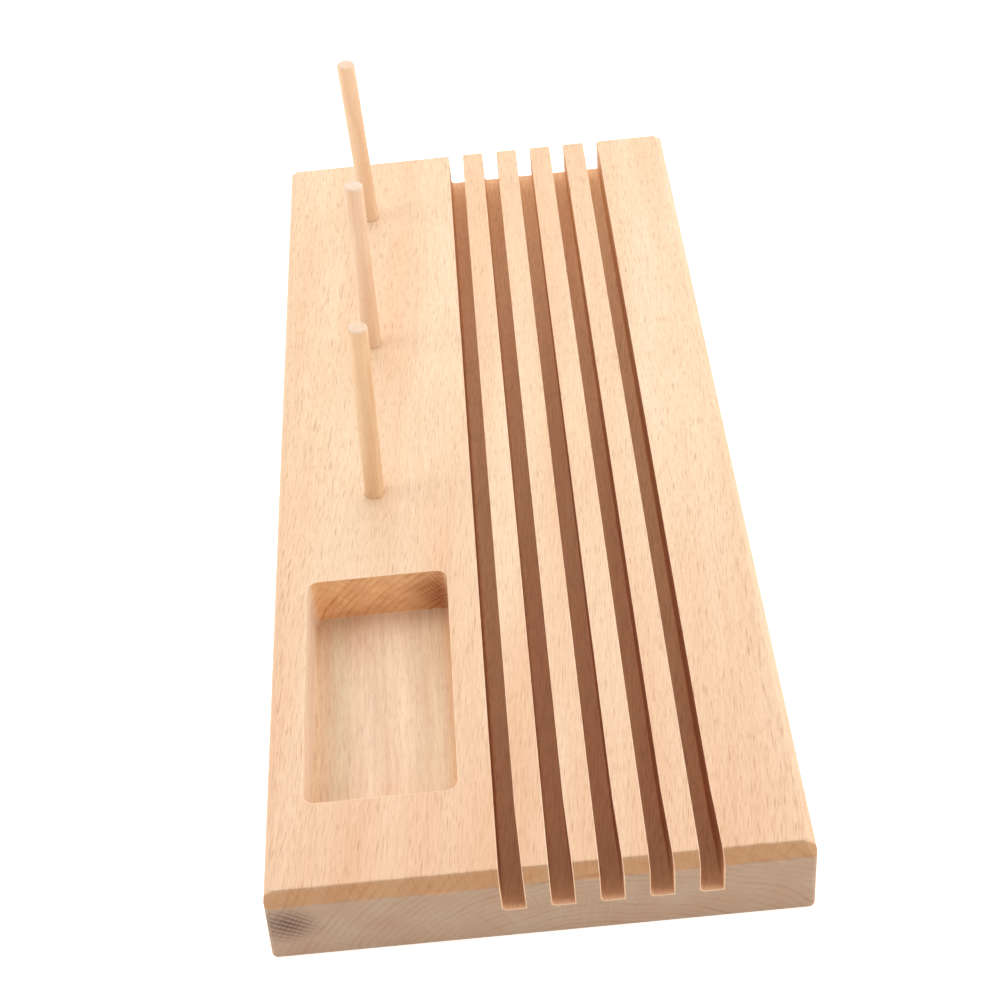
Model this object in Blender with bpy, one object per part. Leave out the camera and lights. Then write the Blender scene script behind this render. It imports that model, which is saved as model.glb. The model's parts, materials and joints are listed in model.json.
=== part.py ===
"""Desktop ruler rack and thread organiser: one milled beech plank with three push-fit thread pins.

Metres, +Z up. The origin is on the underside, under the middle of the plank. +Y runs along the
ruler slots, away from the user, and +X is the user's right.
"""
from math import radians

import bmesh
import bpy
from mathutils import Euler, Matrix, Vector

MM = 0.001

# Plank. Its long sides lean in a little from the underside, the left one more than the right.
PLANK_WIDTH = 143.2 * MM
PLANK_LENGTH = 315.0 * MM
PLANK_HEIGHT = 28.0 * MM
TOP_LEFT = -69.2 * MM
TOP_RIGHT = 70.8 * MM
END_CHAMFER = 3.4 * MM
SIDE_CHAMFER = 2.0 * MM
CORNER_RADIUS = 1.6 * MM
BOTTOM_EASE = 0.8 * MM

# Ruler slots, open at both ends of the plank
SLOT_COUNT = 5
SLOT_WIDTH = 5.3 * MM
SLOT_PITCH = 12.7 * MM
SLOT_DEPTH = 14.6 * MM
FIRST_SLOT_LEFT = -9.5 * MM

# Tray milled into the left side, nearest the user
TRAY_CENTRE = -39.0 * MM
TRAY_WIDTH = 41.0 * MM
TRAY_FRONT = -129.2 * MM
TRAY_BACK = -52.6 * MM
TRAY_DEPTH = 17.0 * MM
TRAY_CORNER_RADIUS = 3.3 * MM
TRAY_FLOOR_COVE = 1.5 * MM

# Thread pins, in a row behind the tray
PIN_RADIUS = 3.0 * MM
PIN_HEIGHT = 64.0 * MM
PIN_SEAT_DEPTH = 12.0 * MM
PIN_TIP_ROUND = 1.1 * MM
PIN_FOOT_CHAMFER = 0.5 * MM
PIN_PITCH = 69.7 * MM
PIN_ROW_X = -39.3 * MM
REAR_PIN_Y = 121.3 * MM
SEAT_GAP = 0.3 * MM

# Each pin stands a little out of true: degrees of lean to the right, then away from the user
PIN_LEANS = {
    "thread_pin_rear": (0.0, 0.0),
    "thread_pin_middle": (2.2, 0.5),
    "thread_pin_front": (3.2, 2.8),
}

# Modelling
OVERCUT = 5.0 * MM
ROUND_SIDES = 48
CORNER_SEGMENTS = 5
COVE_SEGMENTS = 3
EASE_SEGMENTS = 2
TIP_SEGMENTS = 4
SMOOTH_ANGLE = radians(35.0)
SAME_HEIGHT = 0.01 * MM

BEECH_PLANK_COLOUR = (0.87, 0.68, 0.47, 1.0)
BEECH_PIN_COLOUR = (0.86, 0.62, 0.38, 1.0)
BEECH_ROUGHNESS = 0.55


def clear_scene():
    """Remove every object, so the script starts from nothing."""
    for obj in list(bpy.data.objects):
        bpy.data.objects.remove(obj, do_unlink=True)


def new_collection(name):
    """Make a collection and link it to the scene."""
    collection = bpy.data.collections.new(name)
    bpy.context.scene.collection.children.link(collection)
    return collection


def beech(name, colour):
    """Make a plain oiled-beech material."""
    material = bpy.data.materials.new(name)
    material.use_nodes = True
    shader = material.node_tree.nodes["Principled BSDF"]
    shader.inputs["Base Color"].default_value = colour
    shader.inputs["Roughness"].default_value = BEECH_ROUGHNESS
    shader.inputs["Metallic"].default_value = 0.0
    return material


def make_object(name, mesh_data, collection, material=None):
    """Turn a bmesh into an object in a collection."""
    mesh = bpy.data.meshes.new(name)
    mesh_data.to_mesh(mesh)
    mesh_data.free()
    obj = bpy.data.objects.new(name, mesh)
    collection.objects.link(obj)
    if material:
        mesh.materials.append(material)
    return obj


def box(low, high):
    """Make a box between two corners."""
    low, high = Vector(low), Vector(high)
    mesh_data = bmesh.new()
    bmesh.ops.create_cube(mesh_data, size=1.0)
    bmesh.ops.scale(mesh_data, vec=high - low, verts=mesh_data.verts)
    bmesh.ops.translate(mesh_data, vec=(low + high) / 2, verts=mesh_data.verts)
    return mesh_data


def upright_edges(mesh_data):
    """Find the edges that run up a corner, from the underside to the top."""
    return [edge for edge in mesh_data.edges
            if abs(edge.verts[0].co.z - edge.verts[1].co.z) > SAME_HEIGHT]


def rim_edges(mesh_data, height):
    """Find the edges that lie at one height."""
    return [edge for edge in mesh_data.edges
            if all(abs(vert.co.z - height) < SAME_HEIGHT for vert in edge.verts)]


def round_edges(mesh_data, edges, radius, segments):
    """Round the given edges, or chamfer them when there is one segment."""
    bmesh.ops.bevel(mesh_data, geom=edges, offset=radius, offset_type="OFFSET", affect="EDGES",
                    segments=segments, profile=0.5, material=-1)


def shade_round(obj):
    """Shade a turned piece smooth, with its end rims kept sharp."""
    obj.data.shade_smooth()
    obj.data.set_sharp_from_angle(angle=SMOOTH_ANGLE)


def chamfer_top(mesh_data, outward, reach, width):
    """Plane one top edge off at 45 degrees.

    outward points sideways out of the plank, and reach is how far out the top edge is.
    """
    start = outward * (reach - width) + Vector((0.0, 0.0, PLANK_HEIGHT))
    geometry = mesh_data.verts[:] + mesh_data.edges[:] + mesh_data.faces[:]
    planed = bmesh.ops.bisect_plane(mesh_data, geom=geometry, plane_co=start,
                                    plane_no=outward + Vector((0.0, 0.0, 1.0)), clear_outer=True)
    border = [item for item in planed["geom_cut"] if isinstance(item, bmesh.types.BMEdge)]
    bmesh.ops.holes_fill(mesh_data, edges=border)


def plank(collection, material):
    """Make the plank before milling: a chamfered top, rounded corners and an eased underside."""
    mesh_data = box((-PLANK_WIDTH / 2, -PLANK_LENGTH / 2, 0.0),
                    (PLANK_WIDTH / 2, PLANK_LENGTH / 2, PLANK_HEIGHT))
    for vert in mesh_data.verts:
        if vert.co.z > SAME_HEIGHT:
            vert.co.x = TOP_LEFT if vert.co.x < 0 else TOP_RIGHT
    chamfer_top(mesh_data, Vector((-1.0, 0.0, 0.0)), -TOP_LEFT, SIDE_CHAMFER)
    chamfer_top(mesh_data, Vector((1.0, 0.0, 0.0)), TOP_RIGHT, SIDE_CHAMFER)
    chamfer_top(mesh_data, Vector((0.0, -1.0, 0.0)), PLANK_LENGTH / 2, END_CHAMFER)
    chamfer_top(mesh_data, Vector((0.0, 1.0, 0.0)), PLANK_LENGTH / 2, END_CHAMFER)
    round_edges(mesh_data, upright_edges(mesh_data), CORNER_RADIUS, CORNER_SEGMENTS)
    round_edges(mesh_data, rim_edges(mesh_data, 0.0), BOTTOM_EASE, EASE_SEGMENTS)
    bmesh.ops.recalc_face_normals(mesh_data, faces=mesh_data.faces)
    return make_object("ruler_block", mesh_data, collection, material)


def slot_cutter(index, collection):
    """Make the saw path of one ruler slot, which runs right through the plank's length."""
    left = FIRST_SLOT_LEFT + index * SLOT_PITCH
    mesh_data = box((left, -PLANK_LENGTH / 2 - OVERCUT, PLANK_HEIGHT - SLOT_DEPTH),
                    (left + SLOT_WIDTH, PLANK_LENGTH / 2 + OVERCUT, PLANK_HEIGHT + OVERCUT))
    return make_object(f"slot_cutter_{index + 1}", mesh_data, collection)


def tray_cutter(collection):
    """Make the tray's hollow, with rounded corners and a small cove round its floor."""
    floor = PLANK_HEIGHT - TRAY_DEPTH
    mesh_data = box((TRAY_CENTRE - TRAY_WIDTH / 2, TRAY_FRONT, floor),
                    (TRAY_CENTRE + TRAY_WIDTH / 2, TRAY_BACK, PLANK_HEIGHT + OVERCUT))
    round_edges(mesh_data, upright_edges(mesh_data), TRAY_CORNER_RADIUS, CORNER_SEGMENTS)
    round_edges(mesh_data, rim_edges(mesh_data, floor), TRAY_FLOOR_COVE, COVE_SEGMENTS)
    return make_object("tray_cutter", mesh_data, collection)


def rod(radius, low, high):
    """Make an upright rod round the Z axis between two heights."""
    mesh_data = bmesh.new()
    bmesh.ops.create_cone(mesh_data, cap_ends=True, segments=ROUND_SIDES, radius1=radius,
                          radius2=radius, depth=high - low,
                          matrix=Matrix.Translation((0.0, 0.0, (low + high) / 2)))
    return mesh_data


def stand_on_seat(obj, index, leans):
    """Put a pin, or its seat's cutter, at its place on the plank's top, leaning as the pin does."""
    lean_right, lean_back = (radians(angle) for angle in leans)
    obj.location = (PIN_ROW_X, REAR_PIN_Y - index * PIN_PITCH, PLANK_HEIGHT)
    obj.rotation_euler = Euler((-lean_back, lean_right, 0.0))


def seat_cutter(index, leans, collection):
    """Make the blind hole that a pin is pushed into."""
    mesh_data = rod(PIN_RADIUS + SEAT_GAP, -PIN_SEAT_DEPTH - SEAT_GAP, OVERCUT)
    obj = make_object(f"seat_cutter_{index + 1}", mesh_data, collection)
    stand_on_seat(obj, index, leans)
    return obj


def thread_pin(name, index, leans, collection, material):
    """Make one dowel pin with a rounded tip; its origin is on its own axis at the plank's top."""
    mesh_data = rod(PIN_RADIUS, -PIN_SEAT_DEPTH, PIN_HEIGHT)
    round_edges(mesh_data, rim_edges(mesh_data, PIN_HEIGHT), PIN_TIP_ROUND, TIP_SEGMENTS)
    round_edges(mesh_data, rim_edges(mesh_data, -PIN_SEAT_DEPTH), PIN_FOOT_CHAMFER, 1)
    obj = make_object(name, mesh_data, collection, material)
    shade_round(obj)
    stand_on_seat(obj, index, leans)
    return obj


def cut(target, cutter):
    """Take a cutter's volume out of the target."""
    cutter.hide_render = True
    cutter.display_type = "WIRE"
    modifier = target.modifiers.new(cutter.name, "BOOLEAN")
    modifier.operation = "DIFFERENCE"
    modifier.solver = "EXACT"
    modifier.object = cutter


def main():
    """Build the rack."""
    clear_scene()
    parts = new_collection("ruler_rack")
    cutters = new_collection("cutters")
    block = plank(parts, beech("block_beech", BEECH_PLANK_COLOUR))
    pin_beech = beech("pin_beech", BEECH_PIN_COLOUR)
    for index in range(SLOT_COUNT):
        cut(block, slot_cutter(index, cutters))
    cut(block, tray_cutter(cutters))
    for index, (name, leans) in enumerate(PIN_LEANS.items()):
        cut(block, seat_cutter(index, leans, cutters))
        thread_pin(name, index, leans, parts, pin_beech)


main()
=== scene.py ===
"""A beech desk rack for sewing rulers and thread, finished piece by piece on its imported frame.

The rack is one sanded plank with saw-cut slots, a routed tray and three push-fit dowel pins. All of
its wood is drawn as solid timber: growth rings round the log's pith, rays that spread from it, and
fibres along it, so flat, side and end grain agree wherever the plank is cut.
"""
import json
import logging
import random
from dataclasses import dataclass, field, replace
from enum import Enum
from functools import partial
from math import radians, sqrt, tan
from typing import Any, Callable, Iterable, Sequence

import bmesh
import bpy
from mathutils import Euler, Matrix, Vector


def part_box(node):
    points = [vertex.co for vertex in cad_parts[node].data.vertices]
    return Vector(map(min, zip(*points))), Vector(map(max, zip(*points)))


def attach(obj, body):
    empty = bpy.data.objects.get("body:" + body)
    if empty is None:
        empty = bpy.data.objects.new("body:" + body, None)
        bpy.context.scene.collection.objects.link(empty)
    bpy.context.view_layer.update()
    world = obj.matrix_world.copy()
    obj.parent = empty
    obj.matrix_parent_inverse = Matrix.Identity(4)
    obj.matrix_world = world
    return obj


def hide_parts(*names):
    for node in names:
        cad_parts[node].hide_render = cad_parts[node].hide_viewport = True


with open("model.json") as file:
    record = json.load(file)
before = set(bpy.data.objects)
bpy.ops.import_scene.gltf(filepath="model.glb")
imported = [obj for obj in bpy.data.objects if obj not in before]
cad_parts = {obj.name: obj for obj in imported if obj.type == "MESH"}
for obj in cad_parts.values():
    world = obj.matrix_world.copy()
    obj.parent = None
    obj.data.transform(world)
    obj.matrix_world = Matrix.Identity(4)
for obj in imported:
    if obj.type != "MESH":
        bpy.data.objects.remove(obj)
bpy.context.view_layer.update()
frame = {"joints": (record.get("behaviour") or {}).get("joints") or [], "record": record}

LOG = logging.getLogger("ruler_rack")
MM = 0.001
WHITE = (1.0, 1.0, 1.0, 1.0)
SLACK = 0.01 * MM
ALONG = Vector((0.0, 1.0, 0.0))
UP = Vector((0.0, 0.0, 1.0))
Colour = tuple[float, float, float, float]
Stops = Sequence[tuple[float, str]]
AddNode = Callable[..., bpy.types.Node]
Signal = bpy.types.Node | bpy.types.NodeSocket | float


# Tools of the bench


def linear(hex_colour: str) -> Colour:
    """Turn an sRGB hex colour into linear light.

    Args:
        hex_colour: The colour as "#RRGGBB".

    Returns:
        The linear red, green and blue, with full alpha.
    """
    channels = [int(hex_colour[i:i + 2], 16) / 255.0 for i in (1, 3, 5)]
    light = [c / 12.92 if c <= 0.04045 else ((c + 0.055) / 1.055) ** 2.4 for c in channels]
    return (light[0], light[1], light[2], 1.0)


def add_node(tree: bpy.types.NodeTree, kind: str, inputs: dict[Any, Any] | None = None,
             stops: Stops = (), **settings: Any) -> bpy.types.Node:
    """Add one node with its settings, its colour stops and its links.

    Args:
        tree: The material's or world's node tree.
        kind: The node's type.
        inputs: What each input gets: another node's output, a node (its first output) or a value.
        stops: Places and hex colours for a colour ramp.
        **settings: The node's own settings by name.

    Returns:
        The new node.
    """
    node = tree.nodes.new(kind)
    for name, value in settings.items():
        setattr(node, name, value)
    for socket, value in (inputs or {}).items():
        if isinstance(value, bpy.types.Node):
            value = value.outputs[0]
        if isinstance(value, bpy.types.NodeSocket):
            tree.links.new(value, node.inputs[socket])
        else:
            node.inputs[socket].default_value = value
    for index, (place, colour) in enumerate(stops):
        elements = node.color_ramp.elements
        element = elements[index] if index < len(elements) else elements.new(place)
        element.position = place
        element.color = linear(colour)
    return node


def make_piece(name: str, mesh_data: bmesh.types.BMesh,
               materials: Iterable[bpy.types.Material] = ()) -> bpy.types.Object:
    """Turn a bmesh into an object at the origin.

    Args:
        name: The piece's name.
        mesh_data: The finished bmesh, which is freed.
        materials: The materials, in the order of the faces' material numbers.

    Returns:
        The new object.
    """
    mesh = bpy.data.meshes.new(name)
    mesh_data.to_mesh(mesh)
    mesh_data.free()
    for material in materials:
        mesh.materials.append(material)
    piece = bpy.data.objects.new(name, mesh)
    bpy.context.scene.collection.objects.link(piece)
    return piece


def box_between(low: Vector, high: Vector) -> bmesh.types.BMesh:
    """Make a box between two corners.

    Args:
        low: Its lowest corner.
        high: Its highest corner.

    Returns:
        A new bmesh.
    """
    mesh_data = bmesh.new()
    bmesh.ops.create_cube(mesh_data, size=1.0)
    bmesh.ops.scale(mesh_data, vec=high - low, verts=mesh_data.verts)
    bmesh.ops.translate(mesh_data, vec=(low + high) / 2, verts=mesh_data.verts)
    return mesh_data


def round_over(mesh_data: bmesh.types.BMesh, edges: Sequence[bmesh.types.BMEdge], radius: float,
               segments: int, clamp: bool = False) -> list[bmesh.types.BMFace]:
    """Round some edges over, or chamfer them with one segment.

    Args:
        mesh_data: The bmesh to change.
        edges: The edges to round.
        radius: How far back from the edge the rounding starts.
        segments: How many faces go round.
        clamp: Whether the rounding stops where two would meet.

    Returns:
        The new faces.
    """
    made = bmesh.ops.bevel(mesh_data, geom=list(edges), offset=radius, offset_type="OFFSET",
                           affect="EDGES", segments=segments, profile=0.5, material=-1,
                           clamp_overlap=clamp)
    return made["faces"]


def edges_where(mesh_data: bmesh.types.BMesh,
                test: Callable[[Vector], bool]) -> list[bmesh.types.BMEdge]:
    """Find the edges whose two ends both pass a test.

    Args:
        mesh_data: The bmesh to search.
        test: A function of a vertex's place.

    Returns:
        The edges.
    """
    return [edge for edge in mesh_data.edges if all(test(vert.co) for vert in edge.verts)]


def upright_edges(mesh_data: bmesh.types.BMesh, tall: float = 2 * MM) -> list[bmesh.types.BMEdge]:
    """Find the edges that run from bottom to top.

    Args:
        mesh_data: The bmesh to search.
        tall: How far an upright edge climbs at least.

    Returns:
        The edges.
    """
    return [edge for edge in mesh_data.edges
            if abs(edge.verts[0].co.z - edge.verts[1].co.z) > tall]


def carve(target: bpy.types.Object, cutter: bpy.types.Object) -> None:
    """Take a cutter's volume out of a piece, and remove the cutter.

    Args:
        target: The piece to cut.
        cutter: The closed shape to take away.
    """
    cut = target.modifiers.new("cut", "BOOLEAN")
    cut.operation = "DIFFERENCE"
    cut.solver = "EXACT"
    cut.object = cutter
    depsgraph = bpy.context.evaluated_depsgraph_get()
    result = bpy.data.meshes.new_from_object(target.evaluated_get(depsgraph))
    target.modifiers.clear()
    old = target.data
    target.data = result
    bpy.data.meshes.remove(old)
    bpy.data.objects.remove(cutter, do_unlink=True)


def settle_normals(piece: bpy.types.Object, sharp: float = radians(28)) -> None:
    """Shade a piece smooth, with its large flat faces kept flat.

    Args:
        piece: The finished piece.
        sharp: The angle past which two faces meet in an edge.
    """
    piece.data.shade_smooth()
    piece.data.set_sharp_from_angle(angle=sharp)
    weigh = piece.modifiers.new("weigh", "WEIGHTED_NORMAL")
    weigh.mode = "FACE_AREA"
    weigh.weight = 100
    weigh.keep_sharp = True


# Finishes


class Surface(Enum):
    """How a face of the beech was made, in the order of the block's material numbers."""

    SANDED = 0
    SAWN = 1
    ROUTED = 2
    # Eased rims of the slots and the tray, which carry a painted highlight.
    EASED_HIGHLIGHT = 3


@dataclass(frozen=True)
class BeechColours:
    """The colours of one cut of beech.

    straw and blush are the two tones that drift along a board. ring darkens the late wood of each
    year, ray is a fleck and stain the brown of a dark patch. side, chamfer and end tint the wood
    where the surface runs along the fibres, cuts them at a slant and cuts them end on. The default
    end grey is the end grain's own darker tone, deepened with painted shade for the dimmer end faces.
    """

    straw: str = "#F5D9B8"
    blush: str = "#F0CBA6"
    ring: str = "#CCA382"
    ray: str = "#B97E50"
    stain: str = "#7A4632"
    side: str = "#FFFFFF"
    chamfer: str = "#D8C7B0"
    # End grain's own darker tone, deepened with painted shade for the dimmer end faces.
    end: str = "#BBBDBC"


@dataclass(frozen=True)
class Timber:
    """How a piece lies in the log it was sawn from, in millimetres.

    The pith is offset across and up from the piece's own centre. left_squeeze and right_squeeze
    flatten the rings on each side of it, drift and curl let the fibres wander off along the piece,
    sway bends them to and fro, and ring_wander, in years, makes the rings uneven.
    """

    centre: Vector
    fibre: Vector = ALONG
    pith_across: float = -20.0
    pith_up: float = 30.0
    ring_width: float = 2.3
    left_squeeze: float = 1.0
    right_squeeze: float = 1.0
    drift: float = 0.0
    curl: float = 0.0
    sway: float = 5.0
    ring_wander: float = 2.2


@dataclass(frozen=True)
class Stain:
    """A round patch where rays and rings are darker, in millimetres."""

    place: tuple[float, float, float]
    radius: float


@dataclass(frozen=True)
class FalloffShade:
    """Painted shade darkening the wood along the plank: full tint at the end, in metres along it."""

    start: float
    end: float
    tint: str


@dataclass(frozen=True)
class SawCutPaintedLight:
    """Painted light and shade in a saw cut through a plank, in metres.

    Painted shade darkens the last stretch of the cut before the near end. Painted light brightens
    the very ends of the cut, where light falls in through its open ends. The walls get painted
    shade, most near their tops and towards the near end, where top tints them, and floor and rim
    are the cut's heights.
    """

    end: float
    stretch: float
    reach: float
    floor: float
    rim: float
    # The colours of the painted shade near the end, of the painted light at the mouths and of the painted
    # shade on the walls.
    near_end_shade: str
    mouth_light: str
    top: str


@dataclass(frozen=True)
class RouterBandsAndWallShade:
    """The faint bands that a router's passes leave along a floor, from left to right in metres,
    with painted shade in the strips next to the side walls.

    Their borders wander by waver.
    """

    left: float
    right: float
    bands: Stops
    waver: float = 2.5 * MM


@dataclass(frozen=True)
class Shoulder:
    """Where a plank's ends are planed off at a slant, in metres: the end, the top and the width.

    Its borders wander by ragged. brow and foot are how far each border blurs past its own line, on
    the top and on the end. What is nearer than rim to the end counts as end grain, so that the
    light caught by the rounded edge there doesn't change its colour.
    """

    end: float
    top: float
    width: float
    ragged: float = 2.2 * MM
    brow: tuple[float, float] = (-0.2 * MM, 0.7 * MM)
    foot: tuple[float, float] = (-0.6 * MM, 0.5 * MM)
    rim: tuple[float, float] = (1.5 * MM, 0.6 * MM)


class Meeting(Enum):
    """How a layer of colour meets the ones under it."""

    PAINT = "MIX"
    TINT = "MULTIPLY"


@dataclass(frozen=True)
class Layer:
    """One colour laid over the wood: where it shows, what it is and how it meets the rest."""

    share: Signal
    colour: Signal | Colour
    meeting: Meeting = Meeting.TINT


# How close the grain's noises lie in the log, per millimetre across, along and up. The fibres are
# about 0.4 mm wide and the pores 0.2 mm, which is coarser than real ones, so that they show.
SWAY_GRAIN = (0.028, 0.0085, 0.028)
RING_WANDER_GRAIN = (0.05, 0.012, 0.05)
RING_PATCH_GRAIN = (0.16, 0.02, 0.16)
FIBRE_GRAIN = (2.4, 0.06, 2.4)
PORE_GRAIN = (4.5, 0.5, 4.5)

# How much shorter a broad streak's noise is along the log, how far apart the noises of two shells
# of rays lie, and how close the noises that make borders ragged lie, per metre.
STREAK_ALONG = 0.085
SHELL_STEP = 3.7
RAGGED_SCALE = 190.0
WAVER_SCALE = 45.0

# Where each noise begins to leave a mark, and where the mark is full.
TONE_MARK = (0.35, 0.65)
FIBRE_MARK = (0.42, 0.72)
PORE_MARK = (0.50, 0.75)
FLECK_MARK = (0.56, 0.78)
FINE_FLECK_MARK = (0.46, 0.72)
RING_PATCH_MARK = (0.35, 0.62)
WEAVE_MARK = (-0.4, 2.1)
END_GRAIN_MARK = (0.3, 0.95)

# When in a year its late wood begins and is full, and when it stops again.
LATE_WOOD = (0.35, 0.88)
YEARS_END = (0.86, 1.0)


@dataclass(frozen=True)
class SolidBeech:
    """Steamed beech, sanded, sawn or routed.

    Pale and even, with short brown ray flecks along the grain on flat faces, soft rings and fine
    ray lines on end grain, and a matt, slightly silky surface. Widths, lengths and depths are in
    millimetres, and wedges and close_rays are counted per radian round the pith.
    """

    name: str
    timber: Timber
    colours: BeechColours = BeechColours()
    fleck_width: float = 0.27
    fleck_length: float = 5.5
    fleck_strength: float = 0.50
    fine_fleck_strength: float = 0.20
    fine_fleck_scale: tuple[float, float] = (0.8, 0.7)
    ray_depth: float = 9.0
    ray_on_end: float = 0.30
    ring_on_face: float = 0.08
    ring_on_end: float = 0.52
    ring_in_stain: float = 0.5
    weave: float = 0.60
    wedges: float = 55.0
    close_rays: float = 330.0
    close_years: float = 4.6
    streak_width: float = 14.0
    fibre_strength: float = 0.15
    pore_strength: float = 0.13
    roughness: float = 0.56
    roughness_spread: tuple[float, float] = (-0.06, 0.08)
    ior: float = 1.5
    specular: float = 0.35
    bump: float = 0.35
    bump_depth: float = 0.06
    stains: tuple[Stain, ...] = ()
    # Painted shade that darkens the wood along the plank.
    falloff_shade: FalloffShade | None = None
    # Painted shade and painted light in a saw cut.
    cut_painted_light: SawCutPaintedLight | None = None
    # Router bands on a floor, with painted shade next to its side walls.
    floor_bands_and_shade: RouterBandsAndWallShade | None = None
    shoulder: Shoulder | None = None

    def material(self) -> bpy.types.Material:
        """Build the finish's node tree.

        Returns:
            The material.
        """
        material = bpy.data.materials.new(self.name)
        material.use_nodes = True
        tree = material.node_tree
        tree.nodes.clear()
        add = partial(add_node, tree)
        coordinates = add("ShaderNodeTexCoord")
        log, along, radius, angle = self._log_space(add, coordinates)
        end, slant = self._cut(add, coordinates)
        fleck, hatch = self._flecks(add, angle, along, radius)
        ring = self._rings(add, log, radius)
        fibre, pore = self._fibres(add, log)
        stain = self._stains(add, coordinates)
        layers = self._wood(add, log, (end, slant), (fleck, hatch), ring, (fibre, pore), stain)
        # Painted shade: the wood darkens along the plank, where less light falls.
        if self.falloff_shade:
            layers.append(self._falloff_shaded(add, coordinates, self.falloff_shade))
        # Router bands, and painted shade along the floor's sides.
        if self.floor_bands_and_shade:
            layers.append(self._banded(add, coordinates, self.floor_bands_and_shade))
        # Painted shade on the cut's walls and near end, and painted light at its mouths.
        if self.cut_painted_light:
            layers += self._paint_cut_light(add, coordinates, self.cut_painted_light, fibre)
        colour: Signal | Colour = linear(self.colours.straw)
        for layer in layers:
            laid = add("ShaderNodeMix", {0: layer.share, 6: colour, 7: layer.colour},
                       data_type="RGBA", blend_type=layer.meeting.value)
            colour = laid.outputs[2]
        height = self._height(add, end, fleck, fibre, pore)
        smoothest, roughest = [self.roughness + spread for spread in self.roughness_spread]
        rough = add("ShaderNodeMapRange", {0: fibre, 3: smoothest, 4: roughest})
        bump = add("ShaderNodeBump", {"Height": height, "Strength": self.bump,
                                      "Distance": self.bump_depth * MM})
        shader = add("ShaderNodeBsdfPrincipled", {
            "Base Color": colour, "Roughness": rough, "Normal": bump, "IOR": self.ior,
            "Specular IOR Level": self.specular})
        add("ShaderNodeOutputMaterial", {"Surface": shader})
        return material

    def _log_space(self, add: AddNode,
                   coordinates: bpy.types.Node) -> tuple[Signal, Signal, Signal, Signal]:
        """Turn places on the piece into places in its log.

        Args:
            add: Adds a node to this material.
            coordinates: The texture coordinate node.

        Returns:
            The place in the log in millimetres, the distance along it, and the distance and the
            angle from its pith.
        """
        timber = self.timber
        turn = timber.fibre.rotation_difference(ALONG)
        shift = turn @ (-timber.centre / MM) + Vector((timber.pith_across, 0.0, timber.pith_up))
        board = add("ShaderNodeMapping", {
            "Vector": coordinates.outputs["Object"], "Location": shift,
            "Rotation": turn.to_euler(), "Scale": (1 / MM, 1 / MM, 1 / MM)})
        slow = add("ShaderNodeVectorMath", {0: board, 1: SWAY_GRAIN}, operation="MULTIPLY")
        wander = add("ShaderNodeTexNoise", {"Vector": slow, "Scale": 1.0, "Detail": 2.0})
        sway = add("ShaderNodeVectorMath", {0: wander.outputs["Color"], 1: (0.5, 0.5, 0.5)},
                   operation="SUBTRACT")
        sway = add("ShaderNodeVectorMath", {0: sway, 1: (timber.sway, 0.0, timber.sway)},
                   operation="MULTIPLY")
        log = add("ShaderNodeVectorMath", {0: board, 1: sway}, operation="ADD")
        axes = add("ShaderNodeSeparateXYZ", {0: log})
        along = axes.outputs["Y"]
        curl = add("ShaderNodeMath", {0: along, 1: -timber.curl, 2: timber.drift},
                   operation="MULTIPLY_ADD")
        drift = add("ShaderNodeMath", {0: along, 1: curl}, operation="MULTIPLY")
        across = add("ShaderNodeMath", {0: axes.outputs["X"], 1: drift}, operation="SUBTRACT")
        right = add("ShaderNodeMath", {0: across, 1: 0.0}, operation="MAXIMUM")
        left = add("ShaderNodeMath", {0: across, 1: 0.0}, operation="MINIMUM")
        right = add("ShaderNodeMath", {0: right, 1: timber.right_squeeze}, operation="MULTIPLY")
        squeezed = add("ShaderNodeMath", {0: left, 1: timber.left_squeeze, 2: right},
                       operation="MULTIPLY_ADD")
        spoke = add("ShaderNodeCombineXYZ", {0: squeezed, 2: axes.outputs["Z"]})
        radius = add("ShaderNodeVectorMath", {0: spoke}, operation="LENGTH").outputs["Value"]
        angle = add("ShaderNodeMath", {0: squeezed, 1: axes.outputs["Z"]}, operation="ARCTAN2")
        moved = add("ShaderNodeCombineXYZ", {0: across, 1: along, 2: axes.outputs["Z"]})
        return moved, along, radius, angle

    def _cut(self, add: AddNode, coordinates: bpy.types.Node) -> tuple[Signal, Signal]:
        """Tell how squarely the surface cuts the fibres, and where it is planed at a slant.

        Args:
            add: Adds a node to this material.
            coordinates: The texture coordinate node.

        Returns:
            From 0 along the fibres to 1 across them, and a mask of the slant at the ends, whose
            borders are ragged and soft.
        """
        facing = add("ShaderNodeVectorMath", {0: coordinates.outputs["Normal"], 1: self.timber.fibre},
                     operation="DOT_PRODUCT")
        end = add("ShaderNodeMath", {0: facing.outputs["Value"]}, operation="ABSOLUTE")
        if not self.shoulder:
            return end, 0.0
        shoulder = self.shoulder
        ragged = add("ShaderNodeTexNoise", {"Vector": coordinates.outputs["Object"], "Detail": 4.0,
                                            "Scale": RAGGED_SCALE})
        ragged = add("ShaderNodeMath", {0: ragged, 1: 0.5}, operation="SUBTRACT")
        ragged = add("ShaderNodeMath", {0: ragged, 1: shoulder.ragged}, operation="MULTIPLY")
        place = add("ShaderNodeSeparateXYZ", {0: coordinates.outputs["Object"]})
        out = add("ShaderNodeMath", {0: place.outputs["Y"]}, operation="ABSOLUTE")
        rim_start, rim_full = shoulder.rim
        rim = add("ShaderNodeMapRange", {0: out, 1: shoulder.end - rim_start,
                                         2: shoulder.end - rim_full}, interpolation_type="SMOOTHSTEP")
        end = add("ShaderNodeMath", {0: end, 1: rim}, operation="MAXIMUM")
        out = add("ShaderNodeMath", {0: ragged, 1: 0.5, 2: out}, operation="MULTIPLY_ADD")
        high = add("ShaderNodeMath", {0: place.outputs["Z"], 1: ragged}, operation="ADD")
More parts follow.
